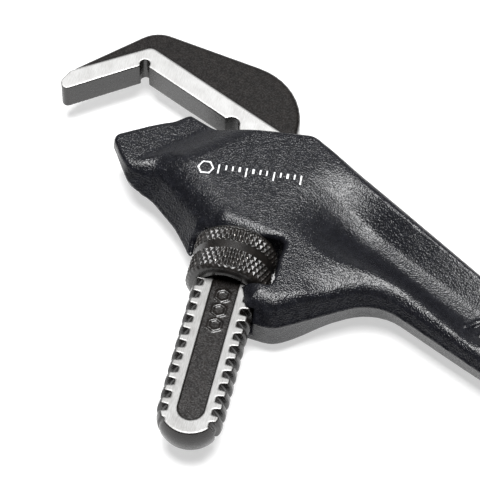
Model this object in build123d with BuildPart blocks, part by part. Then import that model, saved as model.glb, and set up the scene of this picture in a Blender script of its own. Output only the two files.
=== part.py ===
from build123d import *

import os
from math import cos, radians, sin

# Offset hex wrench: a cast handle with a smooth heel jaw, a forged hook jaw on a threaded
# shank, and a knurled nut in a window of the casting that drives the jaw in and out.
#
# Frame, in millimetres: the origin is the centre of the hang hole on the mid-plane of the
# casting, +X runs along the handle to the jaws, +Y is the side where the shank's free end
# comes out, and +Z is square to the flat sides. The wrench is the same above and below Z = 0.
#
# Near the shank the shape is laid out on a second pair of directions: "across" the shank,
# and "towards the hook" along it, both measured from the nut's axis at its middle groove.

# ---- Driving dimensions ----------------------------------------------------------------
shank_angle = 120.0        # direction of the shank's free end, from +X
nut_x = 114.3
nut_y = 45.9

head_half = 12.5           # half thickness of the cast head
casting_draft = 3.0        # degrees, from the parting line at Z = 0
web_half = 4.2             # half thickness of the handle between its flanges
nose_half = 6.6            # half thickness of the heel jaw at its lip
face_stock = 0.5           # cast stock that is ground off the heel jaw's face

hang_hole_radius = 5.0
hang_boss_half = 5.5       # half thickness of the casting round the hang hole
hang_boss_radius = 9.0

shank_radius = 13.6
shank_half = 6.4           # half thickness of the hook jaw, over its ground faces
shank_end = 69.9           # from the nut's centre to the centre of the domed free end
hook_start = 62.0          # from the nut's centre to where the shank becomes the hook
forged_step = 0.4          # how far the forged skin lies under the ground faces
pocket_half = 5.4
pocket_depth = 0.8
pocket_near = 40.0         # the pocket's two ends, along the shank
pocket_far = 70.2

thread_pitch = 6.0
thread_root = 10.8
groove_crest_half = 1.7    # half width of the shank's groove at its mouth and at its root
groove_root_half = 1.3
groove_phase = 21.5        # where a groove crosses the side of the shank, towards the free end
thread_hidden_end = 31.0   # how far the groove runs up inside the head

nut_radius = 17.0
nut_hook_side = 12.0       # from the nut's middle groove to its two ends
nut_free_side = 10.0
nut_bore = 11.15
nut_major = 13.9
nut_groove_mouth_half = 2.0
nut_groove_root_half = 1.6
nut_chamfer = 1.2
band_width = 4.0           # the smooth groove between the two knurled bands
band_depth = 0.5

window_gap = 0.35          # end play of the nut in its window
window_left = 17.45
window_right = 19.3
window_corner = 3.0
channel_half = 13.95
channel_gap = 0.3          # between the shank's ground faces and the channel

spring_thickness = 0.8
spring_half_width = 4.8
spring_pocket_floor = 16.4
rivet_radius = 1.3
coil_wire = 0.45
coil_radius = 2.5
coil_pitch = 1.8
coil_place = 46.0          # along the shank, where the coil spring stands

# ---- Directions and planes -------------------------------------------------------------
free_end = Vector(cos(radians(shank_angle)), sin(radians(shank_angle)), 0)
across = Vector(cos(radians(shank_angle + 90)), sin(radians(shank_angle + 90)), 0)
nut_centre = Vector(nut_x, nut_y, 0)

shank_plan = Plane(origin=nut_centre, x_dir=across, z_dir=(0, 0, 1))
shank_axis = Plane(origin=nut_centre, x_dir=across, z_dir=free_end)


def from_shank(side, towards_hook):
    """Returns the point of the XY plane that lies at these shank measures."""
    place = shank_plan.from_local_coords((side, towards_hook, 0))
    return (place.X, place.Y)


# ---- Handle and housing, one casting ---------------------------------------------------
heel_face = (185.14, 18.78)            # middle of the heel jaw's gripping face
heel_face_angle = shank_angle - 150.0  # direction square to that face, towards the hook
heel_out = Vector(cos(radians(heel_face_angle)), sin(radians(heel_face_angle)), 0)
heel_back = (-33.0 - face_stock * sin(radians(30)), 67.6 + face_stock * cos(radians(30)))
heel_tip = (193.6 + face_stock * heel_out.X, 33.7 + face_stock * heel_out.Y)

casting_outline = [
    ((-13.5, -16.2), 12.0),            # hanging end
    ((129.9, -21.1), 8.0),             # shoulder of the head
    (from_shank(-19.0, 62.0), 4.0),    # foot of the heel jaw
    (from_shank(*heel_back), 2.5),     # back of the heel jaw
    (heel_tip, 2.0),                   # tip of the heel jaw
    ((176.0, 42.9), 8.0),
    ((163.0, 41.6), 18.0),
    ((146.0, 45.2), 25.0),
    ((131.6, 51.4), 0.6),              # leg beside the nut
    (from_shank(3.8, -11.8), 1.2),     # end of the tongue over the shank
    (from_shank(7.6, -22.8), 5.0),
    ((82.3, 56.1), 12.0),              # bottom of the lobe
    ((61.0, 18.1), 22.0),              # throat between the lobe and the handle
    ((-13.5, 15.2), 12.0),
]
handle_start = -20.0
handle_middle = 45.0
handle_end = 110.0
profile_end = 240.0
handle_start_half = 5.0
handle_middle_half = 9.5

recess_outline = [
    ((17.0, -9.0), 5.0),
    ((104.0, -12.4), 5.0),
    ((112.0, -4.0), 5.0),
    ((60.0, 11.4), 12.0),
    ((17.0, 8.0), 5.0),
]

crease_point = (173.6, 26.6)           # a point of the crease where the heel jaw gets thin
crease_angle = -18.7                   # direction square to the crease, towards the jaw face
ramp_length = 11.0
reach = 60.0                           # longer than any cut through the head

crease_out = Vector(cos(radians(crease_angle)), sin(radians(crease_angle)), 0)
crease_plane = Plane(origin=crease_point, x_dir=crease_out, z_dir=crease_out.cross(Vector(0, 0, 1)))

with BuildPart() as handle_housing:
    with BuildSketch() as outline:
        with BuildLine():
            FilletPolyline(
                *[point for point, radius in casting_outline],
                radius=[radius for point, radius in casting_outline],
                close=True,
            )
        make_face()
    extrude(amount=head_half, both=True, taper=casting_draft)

    # Side view: the handle gets thinner towards the hanging end.
    with BuildSketch(Plane.XZ):
        with BuildLine():
            ThreePointArc(
                (handle_start, handle_start_half),
                (handle_middle, handle_middle_half),
                (handle_end, head_half),
            )
            Polyline(
                (handle_end, head_half),
                (profile_end, head_half),
                (profile_end, -head_half),
                (handle_end, -head_half),
            )
            ThreePointArc(
                (handle_end, -head_half),
                (handle_middle, -handle_middle_half),
                (handle_start, -handle_start_half),
            )
            Line((handle_start, -handle_start_half), (handle_start, handle_start_half))
        make_face()
    extrude(amount=4 * reach, both=True, mode=Mode.INTERSECT)

    # The I section of the handle.
    for side in (1, -1):
        with BuildSketch(Plane.XY.offset(side * web_half)):
            with BuildLine():
                FilletPolyline(
                    *[point for point, radius in recess_outline],
                    radius=[radius for point, radius in recess_outline],
                    close=True,
                )
            make_face()
        extrude(amount=side * head_half, mode=Mode.SUBTRACT)

    # The heel jaw is as thin as the hook jaw, with a ramp up to the head.
    for side in (1, -1):
        with BuildSketch(crease_plane):
            Polygon(
                (0, side * nose_half),
                (-ramp_length, side * (head_half + 0.5)),
                (-ramp_length, side * 2 * head_half),
                (reach, side * 2 * head_half),
                (reach, side * nose_half),
                align=None,
            )
        extrude(amount=reach, both=True, mode=Mode.SUBTRACT)

    # Ground face of the heel jaw.
    with BuildSketch(Plane(origin=heel_face, x_dir=heel_out, z_dir=(0, 0, 1))):
        with Locations((reach / 4, 0)):
            Rectangle(reach / 2, reach)
    extrude(amount=head_half, both=True, mode=Mode.SUBTRACT)

    # Window for the nut.
    with BuildSketch(shank_plan.offset(-2 * head_half)):
        with BuildLine():
            FilletPolyline(
                (-window_left, -nut_free_side - window_gap),
                (window_right, -nut_free_side - window_gap),
                (window_right, nut_hook_side + window_gap),
                (-window_left, nut_hook_side + window_gap),
                radius=[0.5, window_corner, window_corner, 0.5],
                close=True,
            )
        make_face()
    extrude(amount=4 * head_half, mode=Mode.SUBTRACT)

    # Channel for the shank: through the head above the window, and open to one side below it.
    channel_height = shank_half + channel_gap
    with BuildSketch(shank_plan.offset(-channel_height)):
        with Locations((0, nut_free_side)):
            Rectangle(2 * channel_half, 2 * reach, align=(Align.CENTER, Align.MIN))
        with Locations((channel_half, -nut_free_side)):
            Rectangle(channel_half + reach, reach / 2, align=(Align.MAX, Align.MAX))
    extrude(amount=2 * channel_height, mode=Mode.SUBTRACT)

    # Pocket for the leaf spring, blind hole for its rivet and bore for the coil spring.
    with BuildSketch(shank_plan.offset(-spring_half_width - 0.5)):
        with Locations(((spring_pocket_floor + channel_half - 0.1) / 2, 35.0)):
            Rectangle(spring_pocket_floor - channel_half + 0.1, 36.0)
    extrude(amount=2 * spring_half_width + 1.0, mode=Mode.SUBTRACT)
    bore_plane = Plane(origin=shank_plan.from_local_coords((spring_pocket_floor, 0, 0)),
                       x_dir=shank_plan.y_dir, z_dir=across)
    with BuildSketch(bore_plane):
        with Locations((coil_place, 0)):
            Circle(coil_radius + coil_wire + 0.35)
    extrude(amount=10.6, mode=Mode.SUBTRACT)
    with BuildSketch(bore_plane):
        with Locations((22.0, 0)):
            Circle(rivet_radius + 0.05)
    extrude(amount=6.3, mode=Mode.SUBTRACT)

    # Hang hole in its flat boss.
    for side in (1, -1):
        with BuildSketch(Plane.XY.offset(side * hang_boss_half)):
            Circle(hang_boss_radius)
        extrude(amount=side * head_half, mode=Mode.SUBTRACT)
    with Locations((0, 0, head_half)):
        Hole(hang_hole_radius, depth=2 * head_half)
handle_housing.part.label = "handle_housing"

# ---- Hook jaw: forged hook, ground faces and a threaded shank ---------------------------
hook_outline = [
    ((-88.4, 67.9), 0.8),      # tip, at the gripping face
    ((-90.2, 72.8), 2.5),
    ((-87.0, 79.8), 4.0),
    ((-57.4, 107.8), 13.0),    # back of the hook
    ((12.0, 94.2), 28.0),
    ((12.0, hook_start - 4), 0),
    ((-12.0, hook_start - 4), 0),
    ((-12.0, 65.9), 0),
    ((-58.0, 88.6), 0),        # bottom of the V
]
land_inner = [
    ((-92.0, 73.6), 0),
    ((-86.6, 77.4), 0),
    ((-57.0, 97.6), 3.5),
    ((6.5, 66.4), 0),
    ((14.0, 62.7), 0),
    ((14.0, 120.0), 0),
    ((-92.0, 120.0), 0),
]
vee_relief = (-57.9, 89.0)
vee_relief_radius = 2.1
root_relief = (-15.7, 66.8)
root_relief_radius = 3.5

# One turn of the groove; the whole thread is cut turn by turn.
with BuildPart() as thread_groove:
    with BuildLine() as groove_path:
        Helix(thread_pitch, thread_pitch, shank_radius)
    with BuildSketch(Plane(groove_path.line @ 0, x_dir=(1, 0, 0), z_dir=groove_path.line % 0)):
        Polygon(
            (thread_root - shank_radius, -groove_root_half),
            (thread_root - shank_radius, groove_root_half),
            (1.0, groove_crest_half + 0.15),
            (1.0, -groove_crest_half - 0.15),
            align=None,
        )
    sweep(path=groove_path.line, is_frenet=True)

turns_above = int((groove_phase + thread_hidden_end) / thread_pitch)
turns_below = int((shank_end + shank_radius - groove_phase) / thread_pitch) + 1

with BuildPart() as hook_jaw:
    with BuildSketch(shank_axis.offset(-hook_start)):
        Circle(shank_radius)
    extrude(amount=hook_start + shank_end)
    with Locations(shank_axis.offset(shank_end).location):
        Sphere(shank_radius)
    for turn in range(-turns_above, turns_below):
        with Locations(shank_axis.offset(groove_phase + turn * thread_pitch).location):
            add(thread_groove.part, mode=Mode.SUBTRACT)
    with BuildSketch(shank_plan.offset(-shank_half)):
        Rectangle(4 * reach, 4 * reach)
    extrude(amount=2 * shank_half, mode=Mode.INTERSECT)
    with BuildSketch(shank_plan.offset(-shank_half)):
        with BuildLine():
            FilletPolyline(
                *[point for point, radius in hook_outline],
                radius=[radius for point, radius in hook_outline],
                close=True,
            )
        make_face()
    extrude(amount=2 * shank_half)
    with BuildSketch(shank_plan.offset(-shank_half)):
        with Locations(vee_relief):
            Circle(vee_relief_radius)
        with Locations(root_relief):
            Circle(root_relief_radius)
    extrude(amount=2 * shank_half, mode=Mode.SUBTRACT)
    for side in (1, -1):
        # Forged skin, a little under the ground faces.
        with BuildSketch(shank_plan.offset(side * (shank_half - forged_step))):
            with BuildLine():
                FilletPolyline(
                    *[point for point, radius in land_inner],
                    radius=[radius for point, radius in land_inner],
                    close=True,
                )
            make_face()
        extrude(amount=side * forged_step * 2, mode=Mode.SUBTRACT)
        # Sunk panel along the shank.
        with BuildSketch(shank_plan.offset(side * (shank_half - pocket_depth))):
            with Locations((0.3, (pocket_near - pocket_far) / 2)):
                SlotCenterToCenter(pocket_near + pocket_far, 2 * pocket_half, rotation=90)
        extrude(amount=side * pocket_depth * 2, mode=Mode.SUBTRACT)
hook_jaw.part.label = "hook_jaw"

# ---- Adjusting nut -----------------------------------------------------------------------
with BuildPart() as nut_groove:
    with BuildLine() as nut_path:
        Helix(thread_pitch, thread_pitch, nut_major)
    with BuildSketch(Plane(nut_path.line @ 0, x_dir=(1, 0, 0), z_dir=nut_path.line % 0)):
        Polygon(
            (0, -nut_groove_root_half),
            (0, nut_groove_root_half),
            (nut_bore - nut_major - 0.8, nut_groove_mouth_half + 0.12),
            (nut_bore - nut_major - 0.8, -nut_groove_mouth_half - 0.12),
            align=None,
        )
    sweep(path=nut_path.line, is_frenet=True)

# A tooth of the shank stands half a pitch from each groove, and the nut's groove takes it.
tooth_phase = groove_phase + thread_pitch / 2

with BuildPart() as adjusting_nut:
    with BuildSketch(shank_axis.offset(-nut_hook_side)):
        Circle(nut_radius)
    extrude(amount=nut_hook_side + nut_free_side)
    chamfer(adjusting_nut.edges().filter_by(GeomType.CIRCLE), length=nut_chamfer)
    with BuildSketch(shank_axis.offset(-band_width)):
        Circle(nut_radius + 1)
        Circle(nut_radius - band_depth, mode=Mode.SUBTRACT)
    extrude(amount=band_width, mode=Mode.SUBTRACT)
    with BuildSketch(shank_axis.offset(-nut_hook_side)):
        Circle(nut_bore)
    extrude(amount=nut_hook_side + nut_free_side, mode=Mode.SUBTRACT)
    for turn in range(-7, -1):
        with Locations(shank_axis.offset(tooth_phase + turn * thread_pitch).location):
            add(nut_groove.part, mode=Mode.SUBTRACT)
adjusting_nut.part.label = "adjusting_nut"

# ---- Coil and leaf spring assembly, hidden beside the shank -------------------------------
leaf_back = spring_pocket_floor - spring_thickness / 2
with BuildPart() as flat_spring:
    with BuildSketch(shank_plan.offset(-spring_half_width)):
        with BuildLine():
            Line((leaf_back, 19.0), (leaf_back, 25.0))
            ThreePointArc((leaf_back, 25.0), (14.5, 38.0), (14.9, 51.0))
        trace(line_width=spring_thickness)
        with Locations((leaf_back, 22.0)):
            Rectangle(2 * spring_thickness, 2 * rivet_radius, mode=Mode.SUBTRACT)
    extrude(amount=2 * spring_half_width)
    with BuildSketch(shank_plan.offset(rivet_radius)):
        with Locations((leaf_back, 22.0)):
            Rectangle(spring_thickness, 2 * rivet_radius)
    extrude(amount=spring_half_width - rivet_radius)
    with BuildSketch(shank_plan.offset(-rivet_radius)):
        with Locations((leaf_back, 22.0)):
            Rectangle(spring_thickness, 2 * rivet_radius)
    extrude(amount=rivet_radius - spring_half_width)
flat_spring.part.label = "flat_spring"

rivet_head_plane = bore_plane.offset(-spring_thickness)
with BuildPart() as spring_rivet:
    with BuildSketch(rivet_head_plane.offset(-0.8)):
        with Locations((22.0, 0)):
            Circle(2.2)
    extrude(amount=0.8)
    with BuildSketch(rivet_head_plane):
        with Locations((22.0, 0)):
            Circle(rivet_radius)
    extrude(amount=spring_thickness + 6.0)
spring_rivet.part.label = "spring_rivet"

coil_length = 9.6
with BuildPart() as coil_blank:
    with BuildLine() as coil_path:
        Helix(coil_pitch, coil_length, coil_radius)
    with BuildSketch(Plane(coil_path.line @ 0, z_dir=coil_path.line % 0)):
        Circle(coil_wire)
    sweep(path=coil_path.line, is_frenet=True)
coil_plane = Plane(origin=bore_plane.from_local_coords((coil_place, 0, -0.4)),
                   x_dir=bore_plane.x_dir, z_dir=across)
with BuildPart() as coil_spring:
    with Locations(coil_plane.location):
        add(coil_blank.part)
coil_spring.part.label = "coil_spring"

# ---- Files ---------------------------------------------------------------------------------
os.makedirs("parts", exist_ok=True)
export_step(handle_housing.part, "parts/handle_housing.step")
export_step(hook_jaw.part, "parts/hook_jaw.step")
export_step(adjusting_nut.part, "parts/adjusting_nut.step")
export_step(flat_spring.part, "parts/flat_spring.step")
export_step(spring_rivet.part, "parts/spring_rivet.step")
export_step(coil_spring.part, "parts/coil_spring.step")
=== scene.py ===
"""Offset hex wrench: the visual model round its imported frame.

Every sub-assembly is a class.  The casting and the forging are signed-distance solids, because
their shapes are soft, and the knurled nut is a turned surface whose radius follows the knurl.
Lengths inside the classes are millimetres, and meshes are scaled to metres when they are made.
"""

import logging
import math
from dataclasses import dataclass, field
from enum import Enum

import bpy
import numpy as np
from mathutils import Matrix, Vector


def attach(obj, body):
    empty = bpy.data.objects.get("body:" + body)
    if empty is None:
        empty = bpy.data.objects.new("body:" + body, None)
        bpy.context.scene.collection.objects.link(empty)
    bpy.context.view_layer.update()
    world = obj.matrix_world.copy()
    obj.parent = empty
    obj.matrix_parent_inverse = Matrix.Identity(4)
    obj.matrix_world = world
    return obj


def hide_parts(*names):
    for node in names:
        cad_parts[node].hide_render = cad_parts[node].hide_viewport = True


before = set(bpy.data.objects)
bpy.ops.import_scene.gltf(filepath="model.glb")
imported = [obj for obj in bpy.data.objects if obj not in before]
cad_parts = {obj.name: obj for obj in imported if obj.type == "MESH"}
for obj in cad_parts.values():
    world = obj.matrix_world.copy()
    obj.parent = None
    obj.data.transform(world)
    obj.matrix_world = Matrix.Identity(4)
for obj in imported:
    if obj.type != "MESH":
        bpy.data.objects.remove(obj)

LOG = logging.getLogger("wrench")
METRES = 0.001

Array = np.ndarray
Corner = tuple[tuple[float, float], float]


class Body(Enum):
    """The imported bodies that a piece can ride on."""

    HOUSING = "housing"
    NUT = "nut"
    HOOK = "hook"


# ---- Small helpers for distance fields --------------------------------------------------------


def smooth_step(value: Array, low: float, high: float) -> Array:
    """Rises softly from 0 at low to 1 at high.

    Args:
        value: the measure that drives the step.
        low: where the step starts.
        high: where the step ends.

    Returns:
        The step's height at each value.
    """
    t = np.clip((value - low) / (high - low), 0.0, 1.0)
    return t * t * (3.0 - 2.0 * t)


def round_max(first: Array, second: Array, radius: Array | float) -> Array:
    """Intersects two solids and rounds the edge between them.

    Args:
        first: signed distance to the first solid.
        second: signed distance to the second solid.
        radius: the edge's radius, one number or one for each point.

    Returns:
        The signed distance to what they share.
    """
    corner = np.hypot(np.maximum(first + radius, 0.0), np.maximum(second + radius, 0.0))
    return np.minimum(np.maximum(first, second), -radius) + corner


def soft_min(first: Array, second: Array, width: float) -> Array:
    """The lower of two surfaces, blended over a width where they cross.

    Args:
        first: one height.
        second: the other height.
        width: how wide the blend is.

    Returns:
        The blended lower height.
    """
    blend = np.clip(0.5 + 0.5 * (second - first) / width, 0.0, 1.0)
    return second + (first - second) * blend - width * blend * (1.0 - blend)


def box_distance(x: Array, y: Array, low: tuple[float, float], high: tuple[float, float],
                 corner: float = 0.0) -> Array:
    """Signed distance to a rectangle with rounded corners.

    Args:
        x: first coordinate of the points.
        y: second coordinate of the points.
        low: the rectangle's lowest corner.
        high: the rectangle's highest corner.
        corner: the corners' radius.

    Returns:
        The signed distance, negative inside.
    """
    half_x = (high[0] - low[0]) / 2 - corner
    half_y = (high[1] - low[1]) / 2 - corner
    dx = np.abs(x - (high[0] + low[0]) / 2) - half_x
    dy = np.abs(y - (high[1] + low[1]) / 2) - half_y
    outside = np.hypot(np.maximum(dx, 0.0), np.maximum(dy, 0.0))
    return outside + np.minimum(np.maximum(dx, dy), 0.0) - corner


def hexagon_distance(x: Array, y: Array, flat: float) -> Array:
    """Signed distance to a regular hexagon with its flats facing up and down.

    Args:
        x: first coordinate, from the hexagon's middle.
        y: second coordinate, from the hexagon's middle.
        flat: distance from the middle to a flat.

    Returns:
        The signed distance to the nearest side's line.
    """
    lean = math.radians(30)
    slanted = np.abs(x) * math.cos(lean) + np.abs(y) * math.sin(lean)
    return np.maximum(np.abs(y), slanted) - flat


class Outline:
    """A closed outline with rounded corners, kept as a table of signed distance."""

    def __init__(self, corners: list[Corner], step: float = 0.4, margin: float = 9.0) -> None:
        """Rounds the corners and measures the table.

        Args:
            corners: each corner's place and radius, in order.
            step: spacing of the table.
            margin: how far the table reaches past the outline.
        """
        self.line = self._rounded(corners)
        self.step = step
        self.low = self.line.min(axis=0) - margin
        count = np.ceil((self.line.max(axis=0) + margin - self.low) / step).astype(int) + 1
        self.x = self.low[0] + step * np.arange(count[0])
        self.y = self.low[1] + step * np.arange(count[1])
        self.table = self._measure()

    @staticmethod
    def _rounded(corners: list[Corner]) -> Array:
        """Turns corners and radii into one fine polygon.

        Args:
            corners: each corner's place and radius, in order.

        Returns:
            The polygon's points.
        """
        points = []
        for index, (place, radius) in enumerate(corners):
            corner = np.array(place)
            back = np.array(corners[index - 1][0]) - corner
            ahead = np.array(corners[(index + 1) % len(corners)][0]) - corner
            back /= np.linalg.norm(back)
            ahead /= np.linalg.norm(ahead)
            if radius == 0:
                points.append(corner)
                continue
            half = math.acos(float(np.clip(back @ ahead, -1, 1))) / 2
            middle = (back + ahead) / np.linalg.norm(back + ahead)
            centre = corner + middle * radius / math.sin(half)
            turn = math.pi / 2 - half
            across = back - (back @ middle) * middle
            across /= np.linalg.norm(across)
            for angle in np.linspace(turn, -turn, max(3, int(turn / 0.06))):
                points.append(centre + radius * (across * math.sin(angle) - middle * math.cos(angle)))
        return np.array(points)

    def _measure(self) -> Array:
        """Fills the table.

        Returns:
            Signed distance at each point of the table, negative inside.
        """
        x, y = np.meshgrid(self.x, self.y, indexing="ij")
        nearest = np.full(x.shape, np.inf)
        inside = np.zeros(x.shape, bool)
        for start, end in zip(self.line, np.roll(self.line, -1, axis=0)):
            run = end - start
            along = ((x - start[0]) * run[0] + (y - start[1]) * run[1]) / max(run @ run, 1e-12)
            along = np.clip(along, 0, 1)
            away = (x - start[0] - along * run[0]) ** 2 + (y - start[1] - along * run[1]) ** 2
            nearest = np.minimum(nearest, away)
            if start[1] != end[1]:
                crosses = (y < max(start[1], end[1])) & (y >= min(start[1], end[1]))
                meet = start[0] + (y - start[1]) * run[0] / run[1]
                inside ^= crosses & (x < meet)
        return np.where(inside, -1, 1) * np.sqrt(nearest)

    def distance(self, x: Array, y: Array) -> Array:
        """Reads the table.

        Args:
            x: first coordinate of the points.
            y: second coordinate of the points.

        Returns:
            Signed distance at the points, negative inside.
        """
        u = np.clip((x - self.low[0]) / self.step, 0, len(self.x) - 1.001) + 0 * y
        v = np.clip((y - self.low[1]) / self.step, 0, len(self.y) - 1.001) + 0 * x
        i = u.astype(int)
        j = v.astype(int)
        u = u - i
        v = v - j
        table = self.table
        lower = table[i, j] * (1 - u) + table[i + 1, j] * u
        upper = table[i, j + 1] * (1 - u) + table[i + 1, j + 1] * u
        return lower * (1 - v) + upper * v


@dataclass(frozen=True)
class ShankFrame:
    """The second pair of directions: a runs across the shank, b along it towards the hook."""

    x: float = 114.3
    y: float = 45.9
    angle: float = 120.0

    @property
    def rows(self) -> Array:
        """The directions of a and b in the part's plan."""
        turn = math.radians(self.angle)
        return np.array([[-math.sin(turn), math.cos(turn)], [-math.cos(turn), -math.sin(turn)]])

    def to_shank(self, x: Array, y: Array) -> tuple[Array, Array]:
        """Turns places in the part's plan into the shank's directions.

        Args:
            x: along the handle.
            y: across the handle.

        Returns:
            a, across the shank, and b, along it towards the hook.
        """
        rows = self.rows
        dx, dy = x - self.x, y - self.y
        return dx * rows[0, 0] + dy * rows[0, 1], dx * rows[1, 0] + dy * rows[1, 1]

    def to_part(self, a: Array | float, b: Array | float) -> tuple[Array, Array]:
        """Turns places in the shank's directions into the part's plan.

        Args:
            a: across the shank.
            b: along the shank, towards the hook.

        Returns:
            Places along and across the handle.
        """
        rows = self.rows
        return self.x + a * rows[0, 0] + b * rows[1, 0], self.y + a * rows[0, 1] + b * rows[1, 1]


SHANK = ShankFrame()


class FieldSolid:
    """A solid given by a signed distance, and the mesh that its zero level makes."""

    low: tuple[float, float, float]
    high: tuple[float, float, float]
    cell: float

    def distance(self, x: Array, y: Array, z: Array) -> Array:
        """Signed distance to the solid, negative inside."""
        raise NotImplementedError

    def mesh_arrays(self) -> tuple[Array, Array]:
        """Makes the zero level's mesh by surface nets, then pulls each vertex onto the solid.

        Returns:
            The vertices and the four-sided faces.
        """
        axes = [np.arange(a, b + self.cell, self.cell) for a, b in zip(self.low, self.high)]
        grid = np.meshgrid(*axes, indexing="ij", sparse=True)
        value = self.distance(*grid).astype(np.float32)
        cells = tuple(n - 1 for n in value.shape)
        total = np.zeros(cells + (3,), np.float32)
        count = np.zeros(cells, np.int16)
        crossings = []
        for axis in range(3):
            first = np.take(value, range(value.shape[axis] - 1), axis)
            second = np.take(value, range(1, value.shape[axis]), axis)
            cross = (first < 0) != (second < 0)
            share = np.where(cross, first / np.where(cross, first - second, 1), 0)
            place = np.indices(first.shape, dtype=np.float32)
            place[axis] += share
            others = [k for k in range(3) if k != axis]
            for shift in ((0, 0), (0, 1), (1, 0), (1, 1)):
                window = [slice(None)] * 3
                for other, step in zip(others, shift):
                    window[other] = slice(step, step + cells[other])
                window = tuple(window)
                for k in range(3):
                    total[..., k] += np.where(cross[window], place[k][window], 0)
                count += cross[window]
            crossings.append((axis, others, cross, first < 0))
        used = count > 0
        number = np.full(cells, -1, np.int64)
        number[used] = np.arange(used.sum())
        vertices = total[used] / count[used][:, None] * self.cell + np.array(self.low)
        faces = []
        for axis, others, cross, starts_inside in crossings:
            trimmed = cross.copy()
            for other in others:
                edge = [slice(None)] * 3
                edge[other] = 0
                trimmed[tuple(edge)] = False
                edge[other] = -1
                trimmed[tuple(edge)] = False
            at = np.argwhere(trimmed)
            ring = []
            for shift in ((-1, -1), (0, -1), (0, 0), (-1, 0)):
                near = at.copy()
                near[:, others[0]] += shift[0]
                near[:, others[1]] += shift[1]
                ring.append(number[tuple(near.T)])
            quads = np.stack(ring, axis=1)
            flip = starts_inside[tuple(at.T)] ^ (axis == 1)
            quads[~flip] = quads[~flip][:, ::-1]
            faces.append(quads)
        return self._settle(vertices), np.concatenate(faces)

    def _settle(self, points: Array, rounds: int = 3) -> Array:
        """Moves points along the gradient onto the surface.

        Args:
            points: the net's vertices.
            rounds: how many times each point is moved.

        Returns:
            The moved points.
        """
        reach = self.cell * 0.2
        points = points.astype(float)
        for _ in range(rounds):
            here = self.distance(*points.T)
            slope = np.empty_like(points)
            for axis in range(3):
                ahead = points.copy()
                behind = points.copy()
                ahead[:, axis] += reach
                behind[:, axis] -= reach
                slope[:, axis] = (self.distance(*ahead.T) - self.distance(*behind.T)) / (2 * reach)
            size = np.maximum((slope**2).sum(axis=1), 0.2)
            move = np.clip(here / size, -self.cell * 0.5, self.cell * 0.5)
            points -= slope * move[:, None]
        return points


def make_object(name: str, vertices: Array, faces: Array) -> bpy.types.Object:
    """Makes a smooth-shaded object from arrays in millimetres.

    Args:
        name: the piece's name.
        vertices: its points.
        faces: its four-sided faces, as rows of vertex numbers.

    Returns:
        The new object, linked to the scene.
    """
    mesh = bpy.data.meshes.new(name)
    mesh.from_pydata((vertices * METRES).tolist(), [], faces.tolist())
    mesh.validate()
    mesh.shade_smooth()
    piece = bpy.data.objects.new(name, mesh)
    bpy.context.scene.collection.objects.link(piece)
    return piece


# ---- Finishes -------------------------------------------------------------------------------------


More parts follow.
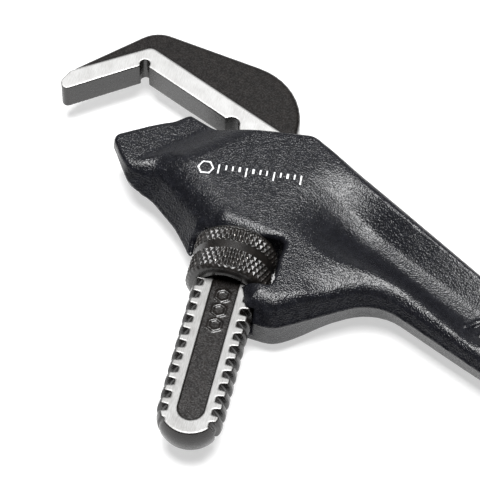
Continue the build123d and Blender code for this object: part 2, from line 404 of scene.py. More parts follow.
class Graph:
    """A material's node tree, with short calls for the nodes that the finishes use.

    Args:
        name: the material's name.
    """

    def __init__(self, name: str) -> None:
        """Starts an empty graph for a material of the given name."""
        self.material = bpy.data.materials.new(name)
        self.material.use_nodes = True
        self.tree = self.material.node_tree
        self.tree.nodes.clear()
        self.output = self.tree.nodes.new("ShaderNodeOutputMaterial")
        self.place = self.tree.nodes.new("ShaderNodeTexCoord").outputs["Object"]

    def link(self, source: bpy.types.NodeSocket, target: bpy.types.NodeSocket) -> None:
        """Joins two sockets."""
        self.tree.links.new(source, target)

    def node(self, kind: str, inputs: dict | None = None, **settings: object) -> bpy.types.Node:
        """Adds a node.

        Args:
            kind: the node's type, without the leading word Shader.
            inputs: sockets by name, each with a number to set or a socket to join.
            settings: properties of the node.

        Returns:
            The node.
        """
        made = self.tree.nodes.new("ShaderNode" + kind)
        for key, value in settings.items():
            setattr(made, key, value)
        for key, value in (inputs or {}).items():
            if isinstance(value, bpy.types.NodeSocket):
                self.link(value, made.inputs[key])
            else:
                made.inputs[key].default_value = value
        return made

    def math(self, operation: str, first: object, second: object = 0.0) -> bpy.types.NodeSocket:
        """Adds a math node and returns its result."""
        return self.node("Math", {0: first, 1: second}, operation=operation).outputs[0]

    def stretched(self, scale: tuple[float, float, float], turn: float = 0.0) -> bpy.types.NodeSocket:
        """Turns and scales the object's coordinates.

        Args:
            scale: how much finer the pattern gets in each direction.
            turn: angle about Z, in degrees.

        Returns:
            The turned and scaled coordinates.
        """
        angle = (0.0, 0.0, math.radians(turn))
        turned = self.node("Mapping", {"Vector": self.place, "Rotation": angle})
        return self.node("Mapping", {"Vector": turned.outputs[0], "Scale": scale}).outputs[0]

    def noise(self, scale: float, detail: float = 2.0, place: object = None) -> bpy.types.NodeSocket:
        """Adds noise and returns its height."""
        inputs = {"Vector": place or self.place, "Scale": scale, "Detail": detail}
        return self.node("TexNoise", inputs).outputs["Fac"]

    def cells(self, scale: float, smooth: float = 0.6) -> bpy.types.NodeSocket:
        """Adds soft cells and returns the distance to each cell's middle."""
        inputs = {"Vector": self.place, "Scale": scale, "Smoothness": smooth}
        return self.node("TexVoronoi", inputs, feature="SMOOTH_F1").outputs["Distance"]

    def ramp(self, value: object, low: float, high: float, start: float = 0.0,
             end: float = 1.0) -> bpy.types.NodeSocket:
        """Maps a value from low..high to start..end, with soft ends."""
        inputs = {"Value": value, "From Min": low, "From Max": high, "To Min": start, "To Max": end}
        return self.node("MapRange", inputs, interpolation_type="SMOOTHSTEP").outputs["Result"]

    def mix(self, share: object, first: tuple | object, second: tuple | object) -> bpy.types.NodeSocket:
        """Mixes two colours.

        Args:
            share: how much of the second colour, from 0 to 1.
            first: a colour or a socket.
            second: a colour or a socket.

        Returns:
            The mix.
        """
        made = self.node("Mix", data_type="RGBA")
        for socket, value in ((0, share), (6, first), (7, second)):
            if isinstance(value, bpy.types.NodeSocket):
                self.link(value, made.inputs[socket])
            else:
                made.inputs[socket].default_value = value
        return made.outputs[2]

    def bump(self, height: object, depth_mm: float, below: object = None) -> bpy.types.NodeSocket:
        """Adds a bump.

        Args:
            height: the pattern that stands out.
            depth_mm: how far it stands out, in millimetres.
            below: another bump's normal to lie on, if there is one.

        Returns:
            The bumped normal.
        """
        inputs = {"Height": height, "Distance": depth_mm * METRES, "Strength": 1.0}
        if below is not None:
            inputs["Normal"] = below
        return self.node("Bump", inputs).outputs["Normal"]

    def principled(self, **inputs: object) -> bpy.types.NodeSocket:
        """Adds a Principled shader; underscores in the socket names stand for spaces."""
        named = {key.replace("_", " "): value for key, value in inputs.items()}
        return self.node("BsdfPrincipled", named).outputs["BSDF"]

    def finish(self, shader: bpy.types.NodeSocket) -> bpy.types.Material:
        """Joins the shader to the output and returns the material."""
        self.link(shader, self.output.inputs["Surface"])
        return self.material


def rgb(red: float, green: float, blue: float) -> tuple[float, float, float, float]:
    """Returns an opaque colour."""
    return (red, green, blue, 1.0)


@dataclass(frozen=True)
class GroundSteel:
    """Bare steel from a grinding wheel: fine straight scratches, a little stain."""

    bright: tuple = rgb(0.43, 0.43, 0.425)
    dull: tuple = rgb(0.31, 0.306, 0.30)
    scratch_mm: float = 0.012
    turn: float = 60.0

    def shader(self, graph: Graph) -> bpy.types.NodeSocket:
        """Adds the finish to a graph.

        Args:
            graph: the material's graph.

        Returns:
            The shader.
        """
        streaks = graph.noise(1.0, 3.0, graph.stretched((300.0, 5200.0, 600.0), self.turn))
        stain = graph.noise(160.0, 3.0)
        blend = graph.ramp(graph.math("ADD", streaks, graph.math("MULTIPLY", stain, 0.6)), 0.55, 1.05)
        colour = graph.mix(blend, self.dull, self.bright)
        rough = graph.ramp(streaks, 0.3, 0.7, 0.56, 0.44)
        normal = graph.bump(streaks, self.scratch_mm)
        return graph.principled(Base_Color=colour, Metallic=1.0, Roughness=rough, Normal=normal)


@dataclass(frozen=True)
class CastEnamel:
    """Gloss enamel sprayed over a sand-cast skin, with one ground face."""

    deep: tuple = rgb(0.0042, 0.0044, 0.0060)
    light: tuple = rgb(0.0088, 0.0092, 0.0120)
    grain_mm: float = 0.15
    dimple_mm: float = 0.12
    face: tuple[float, float] = (185.14, 18.78)
    face_angle: float = -30.0

    def build(self) -> bpy.types.Material:
        """Returns the material."""
        graph = Graph("cast_enamel")
        grain = graph.noise(2000.0, 1.0)
        dimples = graph.cells(1500.0)
        swell = graph.noise(190.0, 2.0)
        colour = graph.mix(graph.ramp(graph.noise(420.0, 4.0), 0.35, 0.75), self.deep, self.light)
        rough = graph.ramp(grain, 0.3, 0.75, 0.19, 0.30)
        normal = graph.bump(swell, 0.03)
        normal = graph.bump(dimples, self.dimple_mm, normal)
        normal = graph.bump(grain, self.grain_mm, normal)
        enamel = graph.principled(Base_Color=colour, Roughness=rough, Normal=normal, IOR=1.41)
        bare = GroundSteel(turn=-self.face_angle).shader(graph)
        turn = math.radians(self.face_angle)
        out = (math.cos(turn), math.sin(turn), 0.0)
        spread = graph.node("VectorMath", {0: graph.place, 1: out}, operation="DOT_PRODUCT").outputs["Value"]
        level = (self.face[0] * out[0] + self.face[1] * out[1]) * METRES
        ground = graph.ramp(spread, level - 0.12 * METRES, level - 0.06 * METRES)
        mixed = graph.node("MixShader", {0: ground, 1: enamel, 2: bare})
        return graph.finish(mixed.outputs[0])


@dataclass(frozen=True)
class BlackOxide:
    """Dark oxide on steel, with an optional bright part that a vertex value picks out."""

    name: str = "black_oxide"
    deep: tuple = rgb(0.0045, 0.0037, 0.0034)
    light: tuple = rgb(0.0105, 0.0088, 0.0080)
    worn: tuple = rgb(0.42, 0.40, 0.38)
    rough: float = 0.36
    grain: float = 1500.0
    grain_mm: float = 0.05

    def shader(self, graph: Graph, wear: object = None) -> bpy.types.NodeSocket:
        """Adds the oxide to a graph.

        Args:
            graph: the material's graph.
            wear: a socket that says how far the oxide is worn off.

        Returns:
            The shader.
        """
        grain = graph.noise(self.grain, 3.0)
        cloud = graph.noise(330.0, 3.0)
        colour = graph.mix(graph.ramp(cloud, 0.3, 0.75), self.deep, self.light)
        metal = 0.0
        if wear is not None:
            colour = graph.mix(wear, colour, self.worn)
            metal = graph.math("MULTIPLY", wear, 0.85)
        rough = graph.ramp(grain, 0.3, 0.7, self.rough - 0.06, self.rough + 0.08)
        normal = graph.bump(grain, self.grain_mm)
        return graph.principled(Base_Color=colour, Metallic=metal, Roughness=rough, Normal=normal)

    def build(self, wear_layer: str = "") -> bpy.types.Material:
        """Makes the material.

        Args:
            wear_layer: vertex layer that says where the oxide is worn, if any.

        Returns:
            The material.
        """
        graph = Graph(self.name)
        wear = None
        if wear_layer:
            layer = graph.node("Attribute", attribute_name=wear_layer).outputs["Fac"]
            wear = graph.ramp(graph.math("ADD", layer, graph.noise(900.0, 2.0)), 1.30, 1.55)
        return graph.finish(self.shader(graph, wear))


@dataclass(frozen=True)
class ForgedSteel:
    """Black oxide on the forged skin, bare steel on the ground flats of both sides; the shank's lands get a
    darker copy of the ground steel, painted shade that evens out the lamp's stronger reflection there.
    """

    ground_level: float = 6.2
    edge: float = 0.05
    band: GroundSteel = GroundSteel(rgb(0.50, 0.50, 0.495), rgb(0.37, 0.366, 0.36))
    # Painted shade: the same ground steel as the band, coloured darker so the shank's lands reflect no
    # brighter than the hook's band.
    shaded_lands: GroundSteel = GroundSteel(rgb(0.28, 0.28, 0.277), rgb(0.20, 0.197, 0.193))
    meeting: tuple[float, float] = (67.4, 77.4)

    def build(self) -> bpy.types.Material:
        """Returns the material."""
        graph = Graph("forged_steel")
        oxide = BlackOxide(rough=0.25, grain=1300.0, grain_mm=0.05).shader(graph)
        place = graph.node("VectorMath", {0: graph.place, 1: (0.5, -0.866, 0.0)}, operation="DOT_PRODUCT")
        # Blends from the painted-darker shank lands to the hook's band along the shank.
        ahead = graph.ramp(place.outputs["Value"], self.meeting[0] * METRES, self.meeting[1] * METRES)
        bare = graph.node("MixShader", {0: ahead, 1: self.shaded_lands.shader(graph), 2: self.band.shader(graph)})
        bare = bare.outputs[0]
        height = graph.node("SeparateXYZ", {"Vector": graph.place}).outputs["Z"]
        level = graph.math("ABSOLUTE", height)
        low = (self.ground_level - self.edge) * METRES
        high = (self.ground_level + self.edge) * METRES
        mask = graph.ramp(level, low, high)
        return graph.finish(graph.node("MixShader", {0: mask, 1: oxide, 2: bare}).outputs[0])


@dataclass(frozen=True)
class SpringMetal:
    """Plain small metal parts: a colour with drawn streaks and a little cloud."""

    name: str
    bright: tuple
    dull: tuple
    rough: float = 0.3

    def build(self) -> bpy.types.Material:
        """Returns the material."""
        graph = Graph(self.name)
        streaks = graph.noise(1.0, 2.0, graph.stretched((400.0, 3000.0, 3000.0), 30.0))
        cloud = graph.noise(700.0, 3.0)
        colour = graph.mix(graph.ramp(cloud, 0.35, 0.7), self.dull, self.bright)
        rough = graph.ramp(streaks, 0.3, 0.7, self.rough, self.rough + 0.12)
        normal = graph.bump(streaks, 0.01)
        return graph.finish(
            graph.principled(Base_Color=colour, Metallic=1.0, Roughness=rough, Normal=normal))


@dataclass(frozen=True)
class PadInk:
    """White pad-printing ink, thin enough to break up over the casting's grain."""

    full: tuple = rgb(0.78, 0.78, 0.79)
    thin: tuple = rgb(0.40, 0.40, 0.42)

    def build(self) -> bpy.types.Material:
        """Returns the material."""
        graph = Graph("pad_ink")
        grain = graph.noise(1150.0, 3.0)
        colour = graph.mix(graph.ramp(grain, 0.32, 0.55), self.thin, self.full)
        normal = graph.bump(grain, 0.06)
        rough = graph.ramp(grain, 0.3, 0.7, 0.45, 0.6)
        return graph.finish(graph.principled(Base_Color=colour, Roughness=rough, Normal=normal))


# ---- The casting ---------------------------------------------------------------------------------


@dataclass
class CastHousing(FieldSolid):
    """Handle, head and heel jaw in one casting, with the nut's window and the shank's channel."""

    low: tuple[float, float, float] = (-16.0, -23.5, -13.6)
    high: tuple[float, float, float] = (195.0, 64.0, 13.6)
    cell: float = 0.68
    head_half: float = 12.5
    start_half: float = 5.0
    middle_half: float = 9.5
    handle_middle: float = 45.0
    handle_reach: float = 65.0
    handle_top: float = 120.0
    valley_head: tuple[float, float] = (120.0, 76.0)
    valley_tail: tuple[float, float] = (10.0, 24.0)
    valley_widening: tuple[float, float] = (58.0, 92.0)
    valley_near: float = 13.0
    valley_flare: float = 9.0
    valley_floor: float = 0.5
    valley_far: float = -15.3
    valley_run: float = 14.8
    steep_share: float = 1.32
    gentle_share: float = 0.2
    bar_pitch: float = 7.0
    bar_slant: float = 0.35
    bar_low: tuple[float, float] = (2.4, -4.0)
    bar_high: tuple[float, float] = (4.6, 4.5)
    bar_span: tuple[float, float] = (14.0, 28.0)
    bar_height: float = 0.85
    web_half: float = 3.6
    bead_half: float = 7.2
    throat_half: float = 8.6
    throat_slope: float = 0.31
    nose_half: float = 6.6
    lobe_rise: float = 4.5
    head_rise: float = 9.0
    far_rise: float = 6.0
    parting: float = 2.0
    fin: float = 0.22
    lip: float = 1.7
    lobe_lip: float = 1.8
    leg_lip: float = 6.0
    far_lip: float = 1.6
    lean: float = 3.5
    near_lean: float = 34.0
    leg_lean: float = 37.0
    lean_below: float = 9.0
    leg_lean_below: float = 34.0
    leg_drop: float = 5.0
    boss_radius: float = 9.0
    boss_half: float = 5.5
    hole_radius: float = 5.0
    window_low: tuple[float, float] = (-17.45, -10.35)
    window_high: tuple[float, float] = (19.3, 12.35)
    channel_half: float = 13.95
    channel_height: float = 6.7
    crease: tuple[float, float] = (173.6, 26.6)
    crease_angle: float = -18.7
    ramp: float = 11.0
    face: tuple[float, float] = (185.14, 18.78)
    face_angle: float = -30.0
    peel_mm: float = 0.007
    relief_edge: float = 15.4
    relief_slope: float = -0.2
    relief_lean: float = 50.0
    nut_gap_radius: float = 17.3
    outline: Outline = field(init=False)

    def __post_init__(self) -> None:
        """Draws the outline and seeds the casting's unevenness."""
        part = SHANK.to_part
        self.outline = Outline([
            ((-13.3, -16.2), 12.0),
            ((129.9, -21.1), 8.0),
            (part(-19.0, 62.0), 4.0),
            (part(-33.25, 68.03), 2.5),
            ((194.03, 33.45), 4.0),
            ((176.0, 42.9), 8.0),
            ((163.0, 41.6), 18.0),
            ((146.0, 45.2), 25.0),
            ((131.6, 51.4), 0.6),
            (part(3.8, -11.8), 4.0),
            (part(7.6, -22.8), 5.0),
            ((82.3, 56.1), 12.0),
            ((61.0, 18.1), 22.0),
            ((-13.3, 13.4), 12.0),
        ])
        draw = np.random.default_rng(7)
        waves = draw.normal(size=(10, 3))
        waves /= np.linalg.norm(waves, axis=1)[:, None]
        self.waves = waves * 2 * math.pi / draw.uniform(2.6, 7.0, 10)[:, None]
        self.phases = draw.uniform(0, 2 * math.pi, 10)

    def height(self, x: Array, y: Array) -> Array:
        """Half thickness of the casting over the plan.

        Args:
            x: along the handle.
            y: across the handle.

        Returns:
            The height of the surface above the mid-plane.
        """
        share = (np.minimum(x, self.handle_top) - self.handle_middle) / self.handle_reach
        bend = (self.head_half + self.start_half) / 2 - self.middle_half
        arc = self.middle_half + (self.head_half - self.start_half) / 2 * share + bend * share**2
        arc = soft_min(arc + 0 * y, self.head_half + 0 * y, 1.0)
        along = smooth_step(x, *self.valley_head) * smooth_step(x, *self.valley_tail)
        near = self.valley_near + self.valley_flare * smooth_step(x, *self.valley_widening)
        depth = np.clip((y - self.valley_far) / self.valley_run, 0.0, 1.0)
        far_slope = soft_min(self.steep_share * depth, 0.8 + self.gentle_share * depth, 0.10)
        across = far_slope * smooth_step((near - y) / (near - self.valley_floor), 0.0, 1.0)
        top = arc - (arc - self.web_half) * along * across
        slanted = np.mod(x - self.bar_slant * y, self.bar_pitch)
        bars = box_distance(slanted, y, self.bar_low, self.bar_high, 0.6)
        start, stop = self.bar_span
        shown = smooth_step(-bars, -0.35, 0.35) * smooth_step(stop - x, 0.0, 0.6)
        shown = shown * smooth_step(x - start, 0.0, 0.6)
        top = top + self.bar_height * shown
        angle = math.radians(self.crease_angle)
        ahead = (x - self.crease[0]) * math.cos(angle) + (y - self.crease[1]) * math.sin(angle)
        inward = np.maximum(-self.outline.distance(x, y) - 3.5, 0.0)
        rim = self.bead_half + (self.throat_half - self.bead_half) * smooth_step(x, 48.0, 70.0)
        rim = rim + self.lobe_rise * smooth_step(y, 30.0, 50.0) + self.head_rise * smooth_step(x, 86.0, 120.0)
        rim = rim + self.far_rise * smooth_step(y, 10.0, 2.0) + self.throat_slope * inward
        top = soft_min(top, rim, 1.8)
        slope = (self.head_half - self.nose_half) / self.ramp
        jaw = self.nose_half - soft_min(ahead * slope, 0 * ahead, 0.9)
        top = soft_min(top, jaw, 2.2)
        boss = np.hypot(x, y) - self.boss_radius
        return top + (self.boss_half - top) * smooth_step(-boss, -1.0, 1.0)

    @staticmethod
    def _soft_sides(x: Array, y: Array) -> tuple[Array, Array, Array]:
        """Says which part of the casting's edge a point belongs to.

        Args:
            x: along the handle.
            y: across the handle.

        Returns:
            How far the point belongs to the side of the shank's free end, the lobe and the leg.
        """
        near = smooth_step(y, 4.0, 12.0) * smooth_step(x, 186.0, 174.0)
        lobe = smooth_step(y, 34.0, 52.0) * smooth_step(x, 108.0, 98.0)
        leg = smooth_step(y, 14.0, 26.0) * smooth_step(x, 118.0, 134.0) * smooth_step(x, 180.0, 168.0)
        return near, lobe, leg

    def distance(self, x: Array, y: Array, z: Array) -> Array:
        """Signed distance to the casting.

        Args:
            x: along the handle.
            y: across the handle.
            z: above the mid-plane.

        Returns:
            The distance, negative inside.
        """
        edge = self.outline.distance(x, y)
        top = self.height(x, y)
        near, lobe, leg = self._soft_sides(x, y)
        above = z - self.parting + self.leg_drop * leg
        upper = self.lean + near * (self.near_lean - self.lean) + leg * (self.leg_lean - self.near_lean)
        lower = self.lean_below * (1 - 0.8 * lobe) + leg * (self.leg_lean_below - self.lean_below)
        lean = np.tan(np.radians(np.where(above > 0, upper, lower)))
        side = edge + np.abs(above) * lean - self.fin * np.exp(-((above / 0.5) ** 2))
        side = side / np.sqrt(1 + lean**2)
        a, b = SHANK.to_shank(x, y)
        lip = self.lip + self.lobe_lip * lobe + self.leg_lip * leg
        lip = lip + self.far_lip * smooth_step(y, 0.0, -8.0) * smooth_step(x, 122.0, 100.0)
        body = np.maximum(round_max(side, z - top, lip), round_max(side, -z - top, 1.0 + 0.5 * leg))

        window = box_distance(a, b, self.window_low, self.window_high, 2.6)
        right = np.sqrt(np.maximum(self.nut_gap_radius**2 - np.minimum(z, 0.0) ** 2, 36.0))
        right = right + (self.window_high[0] - self.nut_gap_radius) * smooth_step(z, -1.0, 2.5)
        window = np.maximum(window, a - right)
        rolled = 1.2 + 1.4 * smooth_step(b, 2.0, 11.0)
        drop = math.radians(self.relief_lean)
        edge_b = self.relief_edge + self.relief_slope * a
        sunk = (b - edge_b) * math.sin(drop) - (np.abs(z) - self.head_half) * math.cos(drop)
        relief = round_max(round_max(sunk, np.abs(a - 0.9) - 18.4, 2.0), -b, 1.0)
        body = round_max(body, -np.minimum(window, relief), rolled)

        channel_up = np.maximum(np.abs(a) - self.channel_half, -b)
        channel_down = np.maximum(a - self.channel_half, b - self.window_low[1] + 1.0)
        channel = np.maximum(np.minimum(channel_up, channel_down), np.abs(z) - self.channel_height)
        body = round_max(body, -channel, 0.5)
        pocket = np.maximum(box_distance(a, b, (12.0, 17.0), (16.4, 53.0)), np.abs(z) - 5.3)
        bore = np.maximum(np.hypot(b - 46.0, z) - 3.3, box_distance(a, b, (14.0, 30.0), (27.0, 60.0)))
        body = np.maximum(body, -np.minimum(pocket, bore))
        body = round_max(body, self.hole_radius - np.hypot(x, y), 1.0)

        peel = 0.0
        for wave, phase in zip(self.waves, self.phases):
            peel = peel + np.sin(x * wave[0] + y * wave[1] + z * wave[2] + phase)
        body = body + self.peel_mm * peel

        angle = math.radians(self.face_angle)
        cut = (x - self.face[0]) * math.cos(angle) + (y - self.face[1]) * math.sin(angle)
        return round_max(body, cut, 0.45)

    def build(self) -> bpy.types.Object:
        """Makes the casting and dresses it.

        Returns:
            The piece, riding on the housing.
        """
        piece = make_object("housing_casting", *self.mesh_arrays())
        piece.data.materials.append(CastEnamel().build())
        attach(piece, Body.HOUSING.value)
        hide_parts("handle_housing")
        return piece


@dataclass
class PrintedMark:
    """A plain mark printed on the head: a hexagon and a row of bars."""

    housing: CastHousing
    middle: tuple[float, float] = (-1.5, 40.2)
    turn: float = -3.6
    length: float = 42.0
    flat: float = 2.7
    line: float = 0.75
    bars: int = 13
    lift: float = 0.05
    cell: float = 0.3

    def _ink(self, u: Array, v: Array) -> Array:
        """Signed distance to the printed shapes.

        Args:
            u: along the mark.
            v: across the mark.

        Returns:
            The distance, negative inside.
        """
        ring_place = -self.length / 2 + self.flat
        ring = np.abs(hexagon_distance(u - ring_place, v, self.flat)) - self.line / 2
        start = ring_place + 2 * self.flat
        pitch = (self.length / 2 - start) / (self.bars - 1)
        index = np.clip(np.round((u - start) / pitch), 0, self.bars - 1)
        tall = np.where(index % 4 == 0, 2.2, 1.25)
        bar = np.maximum(np.abs(u - start - index * pitch) - self.line / 2, np.abs(v + 2.2 - tall) - tall)
        return np.minimum(ring, bar)

    def build(self) -> bpy.types.Object:
        """Lays the ink on the head's top as thin closed plates.

        Returns:
            The piece, riding on the housing.
        """
        half_u, half_v = self.length / 2 + 1, self.flat + 1
        u, v = np.meshgrid(np.arange(-half_u, half_u, self.cell), np.arange(-half_v, half_v, self.cell),
                           indexing="ij")
        turn = math.radians(self.turn)
        a = self.middle[0] + u * math.cos(turn) - v * math.sin(turn)
        b = self.middle[1] - u * math.sin(turn) - v * math.cos(turn)
        x, y = SHANK.to_part(a, b)
        z = self.housing.height(x, y)
        for _ in range(3):
            z = z - self.housing.distance(x, y, z)
        inside = self._ink(u, v) < 0.12
        full = inside[:-1, :-1] & inside[1:, :-1] & inside[1:, 1:] & inside[:-1, 1:]
        number = np.arange(u.size).reshape(u.shape)
        i, j = np.nonzero(full)
        quads = np.stack([number[i, j], number[i + 1, j], number[i + 1, j + 1], number[i, j + 1]], axis=1)
        used, quads = np.unique(quads, return_inverse=True)
        quads = quads.reshape(-1, 4)
        flat = np.stack([x.ravel(), y.ravel(), z.ravel()], axis=1)[used]
        top = flat + (0, 0, self.lift)
        low = flat - (0, 0, self.lift)
        count = len(used)
        edges = np.concatenate([quads[:, [k, (k + 1) % 4]] for k in range(4)])
        keys = {tuple(edge) for edge in edges.tolist()}
        rim = np.array([edge for edge in edges.tolist() if (edge[1], edge[0]) not in keys])
        walls = np.stack([rim[:, 0], rim[:, 0] + count, rim[:, 1] + count, rim[:, 1]], axis=1)
        faces = np.concatenate([quads, quads[:, ::-1] + count, walls])
        piece = make_object("printed_mark", np.concatenate([top, low]), faces)
        piece.data.shade_flat()
        piece.data.materials.append(PadInk().build())
        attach(piece, Body.HOUSING.value)
        return piece


# ---- The hook jaw --------------------------------------------------------------------------------


@dataclass
class HookJaw(FieldSolid):
    """Forged hook, ground flats and threaded shank, laid out in the shank's directions."""

    low: tuple[float, float, float] = (-92.5, -85.0, -7.2)
    high: tuple[float, float, float] = (16.0, 111.0, 7.2)
    cell: float = 0.5
    half: float = 6.4
    skin: float = 0.4
    radius: float = 13.6
    end: float = 69.9
    start: float = 62.0
    pitch: float = 6.0
    root: float = 10.8
    mouth_half: float = 1.7
    root_half: float = 1.3
    phase: float = 21.5
    thread_end: float = 26.5
    pocket_half: float = 5.4
    pocket_depth: float = 0.8
    pocket_span: tuple[float, float] = (-70.2, 40.0)
    ring_start: float = 16.0
    ring_pitch: float = 7.0
    ring_flat: float = 2.5
    relief: tuple[float, float] = (-57.9, 89.0)
    relief_radius: float = 2.1
    root_relief: tuple[float, float] = (-15.7, 66.8)
    root_relief_radius: float = 3.5
    outline: Outline = field(init=False)
    skin_outline: Outline = field(init=False)

    def __post_init__(self) -> None:
        """Draws the hook's outline and the edge of its ground band."""
        self.outline = Outline([
            ((-88.4, 67.9), 2.4),
            ((-90.0, 72.9), 3.5),
            ((-86.0, 81.0), 6.0),
            ((-57.4, 107.8), 13.0),
            ((12.0, 94.2), 28.0),
            ((12.0, self.start - 4), 0),
            ((-12.0, self.start - 4), 0),
            ((-12.0, 65.9), 0),
            ((-58.0, 88.6), 0),
        ], step=0.3)
        self.skin_outline = Outline([
            ((-96.0, 74.0), 0),
            ((-86.6, 78.7), 2.5),
            ((-57.0, 97.6), 3.5),
            ((6.5, 66.4), 3.0),
            ((22.0, 60.0), 0),
            ((22.0, 120.0), 0),
            ((-96.0, 120.0), 0),
        ], step=0.3)

    def _thread(self, a: Array, b: Array, z: Array) -> Array:
        """Signed distance to the thread's groove.

        Args:
            a: across the shank.
            b: along the shank, towards the hook.
            z: above the mid-plane.

        Returns:
            The distance, negative in the groove.
        """
        out = np.hypot(a, z)
        turn = np.arctan2(z, a) / (2 * math.pi)
        count = (-b - self.phase) / self.pitch - turn
        off = np.abs(count - np.round(count)) * self.pitch
        share = (out - self.root) / (self.radius - self.root)
        wide = self.root_half + (self.mouth_half - self.root_half) * share
        groove = round_max(off - wide, self.root - out, 0.45)
        return np.maximum(groove, b - self.thread_end)

    def distance(self, a: Array, b: Array, z: Array) -> Array:
        """Signed distance to the forging.

        Args:
            a: across the shank.
            b: along the shank, towards the hook.
            z: above the mid-plane.

        Returns:
            The distance, negative inside.
        """
        out = np.hypot(a, z)
        rod = np.maximum(out - self.radius, b - self.start)
        ball = np.sqrt(a**2 + (b + self.end) ** 2 + z**2) - self.radius
        rod = np.where(b < -self.end, ball, rod)
        rod = round_max(rod, -self._thread(a, b, z), 0.35)
        flat = np.abs(z) - self.half

        along = np.clip(b, *self.pocket_span)
        pocket = np.hypot(a - 0.3, b - along) - self.pocket_half
        from_first = b + self.ring_start
        index = np.clip(np.round(-from_first / self.ring_pitch), 0, 2)
        rings = np.abs(hexagon_distance(from_first + self.ring_pitch * index, a - 0.3, self.ring_flat))
        raised = 0.4 * smooth_step(0.75 - rings, 0.0, 0.45)
        panel = np.maximum(pocket, self.half - self.pocket_depth + raised - np.abs(z))
        shank = round_max(rod, flat, 0.35)
        shank = round_max(shank, -panel, 0.25)

        edge = self.outline.distance(a, b)
        skin = smooth_step(-self.skin_outline.distance(a, b), -0.1, 0.5)
        hook = round_max(edge, flat + self.skin * skin, 0.22 + 1.8 * skin)
        vee = np.hypot(a - self.relief[0], b - self.relief[1]) - self.relief_radius
        root = np.hypot(a - self.root_relief[0], b - self.root_relief[1]) - self.root_relief_radius
        solid = np.minimum(shank, hook)
        solid = round_max(solid, -vee, 0.3)
        return round_max(solid, -root, 0.3)

    def build(self) -> bpy.types.Object:
        """Makes the forging and dresses it.

        Returns:
            The piece, riding on the hook.
        """
        vertices, faces = self.mesh_arrays()
        x, y = SHANK.to_part(vertices[:, 0], vertices[:, 1])
        piece = make_object("hook_forging", np.stack([x, y, vertices[:, 2]], axis=1), faces)
        piece.data.materials.append(ForgedSteel().build())
        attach(piece, Body.HOOK.value)
        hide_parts("hook_jaw")
        return piece


# ---- The nut -------------------------------------------------------------------------------------


@dataclass
class AdjustingNut:
    """The knurled nut: a turned profile whose skin carries two bands of diamond knurl."""

    radius: float = 17.0
    hook_end: float = 12.0
    free_end: float = 10.0
    hook_chamfer: float = 2.0
    free_chamfer: float = 1.3
    chamfer_depth: float = 2.0
    bore: float = 11.15
    major: float = 13.9
    band: tuple[float, float] = (0.0, 4.0)
    band_depth: float = 0.5
    diamonds: int = 42
    row: float = 2.15
    knurl_depth: float = 0.85
    pitch: float = 6.0
    tooth_phase: float = 24.5
    around: int = 630
    step: float = 0.17

    def _profile(self) -> tuple[Array, Array, Array]:
        """Lays points round the nut's section.

        Returns:
            Place along the shank, radius, and 1 where the point is on the knurled skin.
        """
        low, high = -self.free_end, self.hook_end
        outer = np.arange(low + self.free_chamfer, high - self.hook_chamfer + self.step / 2, self.step)
        inner = np.linspace(high, low, 40)
        cone = self.radius - self.chamfer_depth
        lead = (self.bore + cone) / 2
        b = np.concatenate([[low, low], outer, [high, high], inner])
        r = np.concatenate([[lead, cone], np.full(outer.size, self.radius), [cone, lead],
                            np.full(inner.size, self.bore)])
        skin = np.concatenate([[0, 0], np.ones(outer.size), [0, 0], np.zeros(inner.size)])
        return b, r, skin

    def build(self) -> bpy.types.Object:
        """Turns the section round the shank's axis and presses in the knurl and the thread.

        Returns:
            The piece, riding on the nut.
        """
        b, r, skin = self._profile()
        turn = np.arange(self.around) / self.around
        b, turn = np.meshgrid(b, turn, indexing="ij")
        r = np.repeat(r[:, None], self.around, axis=1)
        skin = np.repeat(skin[:, None], self.around, axis=1)

        first = turn * self.diamonds + b / (2 * self.row)
        second = turn * self.diamonds - b / (2 * self.row)
        ridge = 1 - 2 * np.minimum(0.5, np.maximum(*(np.abs(k - np.round(k)) for k in (first, second))))
        ridge = np.minimum(ridge * 1.1, 0.9)
        smooth_band = smooth_step(np.minimum(b - self.band[0], self.band[1] - b), -0.15, 0.15)
        near_end = np.minimum(b + self.free_end - self.free_chamfer, self.hook_end - self.hook_chamfer - b)
        knurled = skin * (1 - smooth_band) * smooth_step(near_end, -0.1, 0.4)
        dip = knurled * self.knurl_depth * (0.9 - ridge) + skin * smooth_band * self.band_depth
        worn = knurled * ridge + 0.35 * (1 - knurled)

        count = (-b - self.tooth_phase) / self.pitch - turn
        off = np.abs(count - np.round(count)) * self.pitch
        groove = smooth_step(off, 2.0, 1.6) * (skin < 0.5) * (np.abs(r - self.bore) < 0.01)
        inside = (b < self.hook_end - 0.4) & (b > 0.4 - self.free_end)
        r = r - dip + groove * inside * (self.major - self.bore)

        angle = turn * 2 * math.pi
        a, z = r * np.cos(angle), r * np.sin(angle)
        x, y = SHANK.to_part(a, b)
        points = np.stack([x, y, z], axis=-1).reshape(-1, 3)
        rows = b.shape[0]
        number = np.arange(rows * self.around).reshape(rows, self.around)
        below = np.roll(number, -1, axis=0)
        faces = np.stack([number, np.roll(number, -1, axis=1), np.roll(below, -1, axis=1), below], axis=-1)
        piece = make_object("knurled_nut", points, faces.reshape(-1, 4))
        layer = piece.data.attributes.new("worn", "FLOAT", "POINT")
        layer.data.foreach_set("value", worn.ravel().astype(np.float32))
        oxide = BlackOxide("nut_oxide", rgb(0.005, 0.0045, 0.004), rgb(0.012, 0.010, 0.009), rough=0.31,
                           grain=2200.0, grain_mm=0.02)
        piece.data.materials.append(oxide.build("worn"))
        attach(piece, Body.NUT.value)
        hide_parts("adjusting_nut")
        return piece


# ---- The hidden springs --------------------------------------------------------------------------


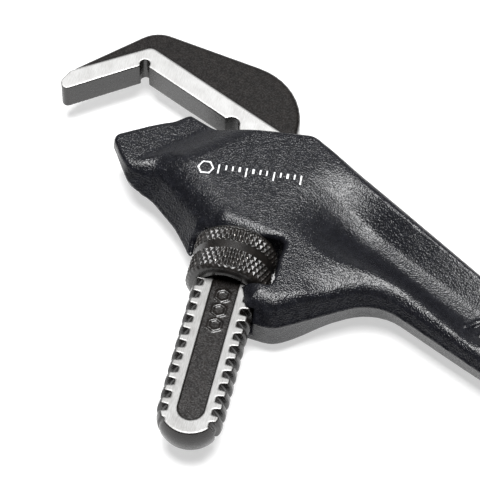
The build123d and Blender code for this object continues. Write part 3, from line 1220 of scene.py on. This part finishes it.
@dataclass
class SpringSet:
    """The leaf spring, its rivet and the coil spring, whose CAD shapes stay as they are."""

    steel: SpringMetal = SpringMetal("spring_steel", rgb(0.30, 0.30, 0.32), rgb(0.16, 0.15, 0.17))
    zinc: SpringMetal = SpringMetal("rivet_zinc", rgb(0.62, 0.62, 0.60), rgb(0.42, 0.42, 0.43), 0.35)

    def build(self) -> list[bpy.types.Object]:
        """Gives each node its finish.

        Returns:
            The dressed nodes.
        """
        steel = self.steel.build()
        zinc = self.zinc.build()
        dressed = []
        for name, finish in (("flat_spring", steel), ("coil_spring", steel), ("spring_rivet", zinc)):
            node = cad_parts[name]
            node.data.materials.clear()
            node.data.materials.append(finish)
            dressed.append(node)
        return dressed


# ---- The studio ----------------------------------------------------------------------------------


@dataclass
class Studio:
    """Floor, lights, sky and camera."""

    target: tuple[float, float, float] = (122.0, 32.5, 0.0)
    azimuth: float = -46.9
    elevation: float = 56.0
    lens: float = 262.5
    sensor: float = 36.0
    distance_mm: float = 1421.3
    floor_level: float = -17.6
    floor_size: float = 3.0
    floor_glow: float = 0.55
    glows: tuple = ((70.0, 0.45, 1.0, 0.32), (-8.0, 0.72, 0.96, 0.9), (0.0, -1.5, -1.0, 0.03))

    def _look(self) -> Vector:
        """Direction in which the camera looks."""
        turn, down = math.radians(self.azimuth), math.radians(self.elevation)
        return Vector((math.cos(turn) * math.cos(down), math.sin(turn) * math.cos(down), -math.sin(down)))

    def camera(self) -> bpy.types.Object:
        """Places the camera and makes it the scene's own."""
        look = self._look()
        right = Vector((look.y, -look.x, 0)).normalized()
        up = right.cross(look)
        data = bpy.data.cameras.new("camera")
        data.lens = self.lens
        data.sensor_width = self.sensor
        data.clip_end = 20.0
        made = bpy.data.objects.new("camera", data)
        place = (Vector(self.target) - look * self.distance_mm) * METRES
        turn = Matrix((right, up, -look)).transposed().to_4x4()
        made.matrix_world = Matrix.Translation(place) @ turn
        bpy.context.scene.collection.objects.link(made)
        bpy.context.scene.camera = made
        return made

    def floor(self) -> bpy.types.Object:
        """Lays a pale floor under the wrench."""
        reach = self.floor_size / 2 / METRES
        x, y = self.target[0], self.target[1]
        signs = ((-1, -1), (1, -1), (1, 1), (-1, 1))
        corners = np.array([(x + i * reach, y + j * reach, self.floor_level) for i, j in signs])
        made = make_object("studio_floor", corners, np.array([[0, 1, 2, 3]]))
        graph = Graph("studio_floor")
        paper = graph.mix(graph.noise(3.0, 2.0), rgb(0.49, 0.49, 0.49), rgb(0.51, 0.51, 0.51))
        paper = graph.principled(Base_Color=paper, Roughness=0.9, Emission_Strength=self.floor_glow,
                                 Emission_Color=rgb(1.0, 1.0, 1.0))
        made.data.materials.append(graph.finish(paper))
        return made

    def light(self, name: str, place: tuple[float, float, float], size: tuple[float, float],
              power: float) -> bpy.types.Object:
        """Hangs a soft rectangular lamp that points at the wrench.

        Args:
            name: the lamp's name.
            place: where it hangs, in metres from the camera's target.
            size: width and height, in metres.
            power: in watts.

        Returns:
            The lamp.
        """
        data = bpy.data.lights.new(name, "AREA")
        data.shape = "RECTANGLE"
        data.size, data.size_y = size
        data.energy = power
        made = bpy.data.objects.new(name, data)
        centre = Vector(self.target) * METRES
        made.location = centre + Vector(place)
        made.rotation_euler = (-Vector(place)).to_track_quat("-Z", "Y").to_euler()
        bpy.context.scene.collection.objects.link(made)
        return made

    def sky(self) -> None:
        """Makes the room: a pale backdrop and a big soft ceiling light, dim on the camera's side."""
        world = bpy.data.worlds.new("room")
        bpy.context.scene.world = world
        world.use_nodes = True
        tree = world.node_tree
        tree.nodes.clear()
        output = tree.nodes.new("ShaderNodeOutputWorld")
        glow = tree.nodes.new("ShaderNodeBackground")
        place = tree.nodes.new("ShaderNodeTexCoord")
        turn = math.radians(self.azimuth)

        def toward(tilt_degrees: float, low: float, high: float, most: float) -> bpy.types.NodeSocket:
            """Adds light that grows with nearness to a direction on the backdrop's side.

            Args:
                tilt_degrees: the direction's height above the floor.
                low: nearness at which the light starts.
                high: nearness at which the light is full.
                most: the full light.

            Returns:
                The light's strength.
            """
            tilt = math.radians(tilt_degrees)
            dot = tree.nodes.new("ShaderNodeVectorMath")
            dot.operation = "DOT_PRODUCT"
            dot.inputs[1].default_value = (math.cos(turn) * math.cos(tilt), math.sin(turn) * math.cos(tilt),
                                           math.sin(tilt))
            level = tree.nodes.new("ShaderNodeMapRange")
            level.interpolation_type = "SMOOTHSTEP"
            for key, value in (("From Min", low), ("From Max", high), ("To Min", 0.0), ("To Max", most)):
                level.inputs[key].default_value = value
            tree.links.new(place.outputs["Generated"], dot.inputs[0])
            tree.links.new(dot.outputs["Value"], level.inputs["Value"])
            return level.outputs["Result"]

        total = None
        for tilt, low, high, most in self.glows:
            part = toward(tilt, low, high, most)
            if total is None:
                total = part
                continue
            add = tree.nodes.new("ShaderNodeMath")
            tree.links.new(total, add.inputs[0])
            tree.links.new(part, add.inputs[1])
            total = add.outputs[0]
        tree.links.new(total, glow.inputs["Strength"])
        glow.inputs["Color"].default_value = rgb(0.98, 0.99, 1.0)
        tree.links.new(glow.outputs[0], output.inputs["Surface"])

    def build(self) -> None:
        """Sets up everything that isn't part of the wrench."""
        self.camera()
        self.floor()
        self.sky()
        self.light("overhead", (0.0, 0.0, 2.5), (1.24, 1.24), 136.0)
        view = bpy.context.scene.view_settings
        view.view_transform = "Standard"
        view.look = "None"
        view.exposure = 0.0


def main() -> None:
    """Builds the studio and every piece."""
    logging.basicConfig(level=logging.INFO, format="%(name)s: %(message)s")
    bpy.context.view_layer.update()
    Studio().build()
    housing = CastHousing()
    pieces = [housing.build(), PrintedMark(housing).build(), HookJaw().build(), AdjustingNut().build()]
    pieces += SpringSet().build()
    for piece in pieces:
        LOG.info("%s: %d faces", piece.name, len(piece.data.polygons))


if __name__ == "__main__":
    main()
